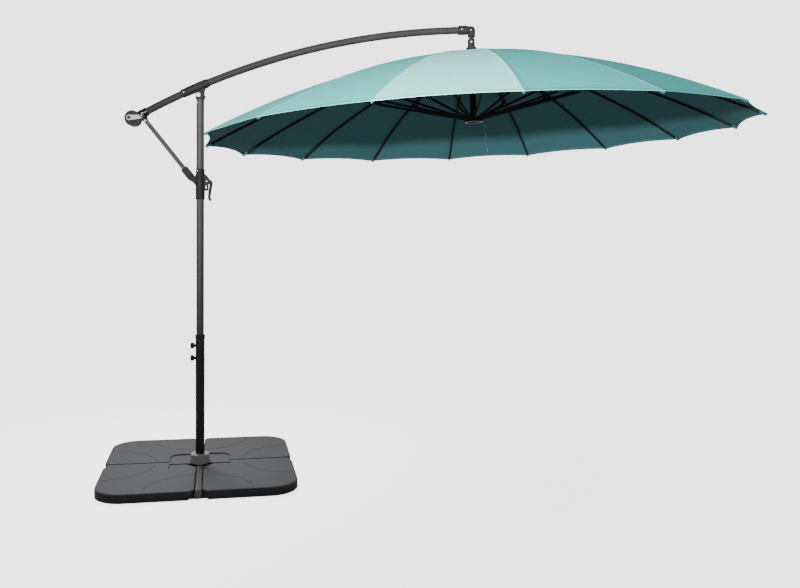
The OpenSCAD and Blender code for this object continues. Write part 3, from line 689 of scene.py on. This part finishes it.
def bar_cutter(at, axis, sides, reach, width, low, high, turn):
    """A prism across the head: two sides give a slot, six give a hexagon socket."""
    z = Vector(axis).normalized()
    x = z.orthogonal().normalized()
    y = z.cross(x)
    c, s = math.cos(turn), math.sin(turn)
    u, v = x * c + y * s, y * c - x * s
    if sides == 2:
        ring = [(reach, width), (-reach, width), (-reach, -width), (reach, -width)]
    else:
        angles = [math.tau * i / sides for i in range(sides)]
        ring = [(reach * math.cos(a), reach * math.sin(a)) for a in angles]
    n = len(ring)
    verts = [Vector(at) + u * p + v * q + z * h for h in (low, high) for p, q in ring]
    faces = [[i, (i + 1) % n, n + (i + 1) % n, n + i] for i in range(n)]
    faces += [list(range(n))[::-1], list(range(n, 2 * n))]
    return new_object("cutter", verts, faces, smooth=False)


def head(name, at, axis, r, height, body, finish, drive="cross"):
    """A screw or rivet head that sits on the point at and faces along axis."""
    obj = lathe(name, dome_profile(r, height), at, axis)
    if drive == "cross":
        for turn in (0.4, 0.4 + math.pi / 2):
            carve(obj, [bar_cutter(at, axis, 2, r * 0.58, r * 0.11, height * 0.35, height * 1.5, turn)])
    elif drive == "hex":
        carve(obj, [bar_cutter(at, axis, 6, r * 0.50, 0.0, height * 0.15, height * 1.5, 0.2)])
    sharpen(obj, 40, 1.0)
    paint(obj, finish)
    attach(obj, body)
    return obj


def joint_at(name):
    return Vector(JOINTS[name]["pos_m"])


def on_both_sides(name, at, y, r, height, body, finish, drive):
    """A pin's two heads, at a distance y from the parasol's middle plane."""
    for side in (-1, 1):
        head("%s_%s" % (name, "left" if side > 0 else "right"), (at.x, side * y, at.z), (0, side, 0),
             r, height, body, finish, drive=drive)


RUNNER_R, RIM_WIDTH, RIM_Z, RIM_THICK = 0.0500, 0.0095, 0.079, 0.0008
# The boom's centre line is an arc that is level at LEVEL_X
ARC_R, LEVEL_X, LEVEL_Z = 3.950, 1.616, 2.509


def boom_z(x):
    """The height of the boom's centre line at x."""
    return LEVEL_Z - ARC_R + math.sqrt(ARC_R ** 2 - (x - LEVEL_X) ** 2)


def fasteners():
    """The heads of the bolts, pins and screws, and the two knobs' caps."""
    on_both_sides("pivot_bolt", joint_at("boom_tilt"), 0.0265, 0.0072, 0.0022, "boom", ZINC, "hex")
    on_both_sides("strut_pin", joint_at("strut_swing"), 0.0152, 0.0062, 0.0018, "boom", STEEL, "cross")
    on_both_sides("hanger_pin", joint_at("canopy_tilt"), 0.0244, 0.0062, 0.0018, "boom", STEEL, "hex")
    on_both_sides("pulley_axle", joint_at("pulley_turn"), 0.02515, 0.0043, 0.0014, "boom", STEEL, "cross")
    on_both_sides("lever_pin", joint_at("lever_squeeze"), 0.0108, 0.0052, 0.0022, "slide_unit", ZINC, "round")
    for n, (x, sleeve_r) in enumerate(((-0.086, 0.0230), (-0.312, 0.0235), (1.438, 0.0250))):
        head("sleeve_screw_%d" % (n + 1), (x, -sleeve_r - 0.0021, boom_z(x)), (0, -1, 0),
             0.0046, 0.0018, "boom", STEEL)
    for name, x, z, r, body in (("mast_screw", -0.012, 2.070, 0.0210, "mast"),
                                ("slider_screw", -0.010, 1.697, 0.0238, "slide_unit")):
        y = -math.sqrt(r * r - x * x)
        head(name, (x * 0.99, y * 0.99, z), (x, y, 0), 0.0042, 0.0024, body, ZINC)
    tip, axle = joint_at("crank_grip_spin"), joint_at("crank_turn")
    head("grip_screw", (tip.x, -0.076, tip.z), (0, -1, 0), 0.0050, 0.0022, "crank_grip", STEEL)
    head("crank_hub", (axle.x, -0.036, axle.z), (0, -1, 0), 0.0095, 0.0032, "crank",
         GLOSS_BLACK, "round")
    for name, body in (("lock_knob_upper", "knob_upper"), ("lock_knob_lower", "knob_lower")):
        low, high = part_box(name)
        at = (low[0], (low[1] + high[1]) / 2, (low[2] + high[2]) / 2)
        head(name + "_cap", at, (-1, 0, 0), 0.0085, 0.0020, body, GLOSS_BLACK, "round")


def rivets(k):
    """The two bright heads of the pin that joins a stretcher to its rib, as one piece."""
    at, side = joint_at("stretcher_%02d_swing" % k), spoke(k)[1]
    heads = [lathe("rivet", dome_profile(0.0042, 0.0022), at + side * 0.0071 * s, side * s, 20)
             for s in (-1, 1)]
    obj = joined("rib_rivets_%02d" % k, heads)
    paint(obj, RIVET)
    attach(obj, "rib_%02d" % k)


def joined(name, parts):
    """One object from several, which are removed."""
    bm = bmesh.new()
    for part in parts:
        bm.from_mesh(part.data)
        bpy.data.objects.remove(part)
    mesh = bpy.data.meshes.new(name)
    bm.to_mesh(mesh)
    bm.free()
    obj = bpy.data.objects.new(name, mesh)
    bpy.context.scene.collection.objects.link(obj)
    return obj


def canopy_ring(name, loop, steps=64):
    """A closed loop of (radius, height) points, turned round the canopy's axis."""
    n = len(loop)
    verts = [CENTRE + (spoke(1)[0] * math.cos(a) + spoke(1)[1] * math.sin(a)) * r + AXIS * z
             for a in [math.tau * i / steps for i in range(steps)] for r, z in loop]
    faces = [[i * n + j, i * n + (j + 1) % n, (i + 1) % steps * n + (j + 1) % n, (i + 1) % steps * n + j]
             for i in range(steps) for j in range(n)]
    obj = new_object(name, verts, faces)
    outward(obj)
    return obj


def runner_rim():
    """The bright trim ring on the runner's lower face."""
    inner, outer, under = RUNNER_R - RIM_WIDTH, RUNNER_R - 0.0003, RIM_Z - RIM_THICK
    obj = canopy_ring("runner_trim", [(inner, RIM_Z), (outer, RIM_Z), (outer, under), (inner, under)])
    sharpen(obj, 40, 1.0)
    paint(obj, BRASS)
    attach(obj, "runner_body")


fasteners()
runner_rim()
for k in range(1, RIBS + 1):
    rivets(k)


# ------------------------------------------------------------------ stage

FLOOR_SEEN = 2.6
BACKDROP_SEEN = 3.0
ROOM = 0.50


def seen_directly(tree, seen, unseen):
    """A strength that is one value where the camera looks straight at it, and another as a light."""
    path = tree.nodes.new("ShaderNodeLightPath")
    span = tree.nodes.new("ShaderNodeMapRange")
    tree.links.new(path.outputs["Is Camera Ray"], span.inputs["Value"])
    span.inputs["To Min"].default_value = unseen
    span.inputs["To Max"].default_value = seen
    return span.outputs[0]


def floor():
    """A wide pale floor."""
    obj = new_object("floor", [(-30, -14, 0), (34, -14, 0), (34, 40, 0), (-30, 40, 0)], [[0, 1, 2, 3]], False)
    m = Nodes("floor")
    m.set(Base_Color=(0.86, 0.86, 0.86, 1.0), Roughness=0.9, Emission_Color=(1.0, 1.0, 1.0, 1.0),
          Emission_Strength=seen_directly(m.tree, FLOOR_SEEN, 0.0))
    paint(obj, m.mat)


def studio():
    """A pale backdrop, and an even light from all sides."""
    world = bpy.data.worlds.new("studio")
    bpy.context.scene.world = world
    world.use_nodes = True
    back = world.node_tree.nodes["Background"]
    back.inputs["Color"].default_value = (1.0, 1.0, 1.0, 1.0)
    world.node_tree.links.new(seen_directly(world.node_tree, BACKDROP_SEEN, ROOM), back.inputs["Strength"])


def area_light(name, place_at, aim, size, power, spread=180.0):
    """A soft box at place_at that faces aim, with its power in watts and its spread in degrees."""
    data = bpy.data.lights.new(name, "AREA")
    data.shape = "RECTANGLE"
    data.size, data.size_y = size
    data.energy = power
    data.spread = math.radians(spread)
    obj = bpy.data.objects.new(name, data)
    bpy.context.scene.collection.objects.link(obj)
    obj.location = place_at
    obj.rotation_euler = (Vector(aim) - Vector(place_at)).to_track_quat("-Z", "Y").to_euler()


floor()
studio()
area_light("key", (-0.50, -5.4, 1.64), (1.5, 0.0, 3.2), (0.4, 0.10), 165.0, 60.0)
area_light("base_light", (-0.7, 1.6, 3.4), (0.0, 0.0, 0.1), (1.2, 1.2), 18.5, 60.0)
area_light("fill", (6.0, -3.0, 4.2), (1.4, 0.0, 1.6), (3.0, 3.0), 25.0)

bpy.context.view_layer.update()
